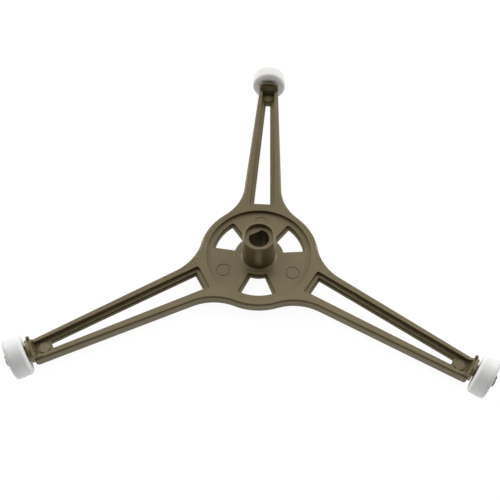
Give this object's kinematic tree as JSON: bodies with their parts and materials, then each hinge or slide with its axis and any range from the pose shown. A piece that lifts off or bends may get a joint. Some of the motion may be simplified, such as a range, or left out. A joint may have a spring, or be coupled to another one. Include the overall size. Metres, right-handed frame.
{
  "type": "microwave turntable support",
  "caption": "Three-armed moulded turntable frame with a D-shaped drive socket in its hub and a free-turning roller on the snap axle at each arm's end.",
  "frame": {"origin": "on the hub's axis, level with the frame's flat underside, where the drive socket opens", "axes": "+Z along the hub tube, away from the flat underside; +Y along one arm (the rear one in the picture); +X across, along the part's longest extent"},
  "size_m": [0.1614, 0.141, 0.0179],
  "materials": {
    "frame": "moulded, fine satin, khaki bronze",
    "roller": "moulded, smooth satin, white"
  },
  "bodies": {
    "frame": {"frame": "frame"},
    "roller_rear": {"roller_rear": "roller"},
    "roller_left": {"roller_left": "roller"},
    "roller_right": {"roller_right": "roller"}
  },
  "joints": [
    {"name": "roller_rear_spin", "type": "hinge", "parent": "frame", "child": "roller_rear", "pos_m": [0, 0.08675, 0.004], "axis": [0, 1, 0], "continuous": true},
    {"name": "roller_left_spin", "type": "hinge", "parent": "frame", "child": "roller_left", "pos_m": [-0.07513, -0.04337, 0.004], "axis": [-0.866, -0.5, 0], "continuous": true},
    {"name": "roller_right_spin", "type": "hinge", "parent": "frame", "child": "roller_right", "pos_m": [0.07513, -0.04337, 0.004], "axis": [0.866, -0.5, 0], "continuous": true}
  ]
}
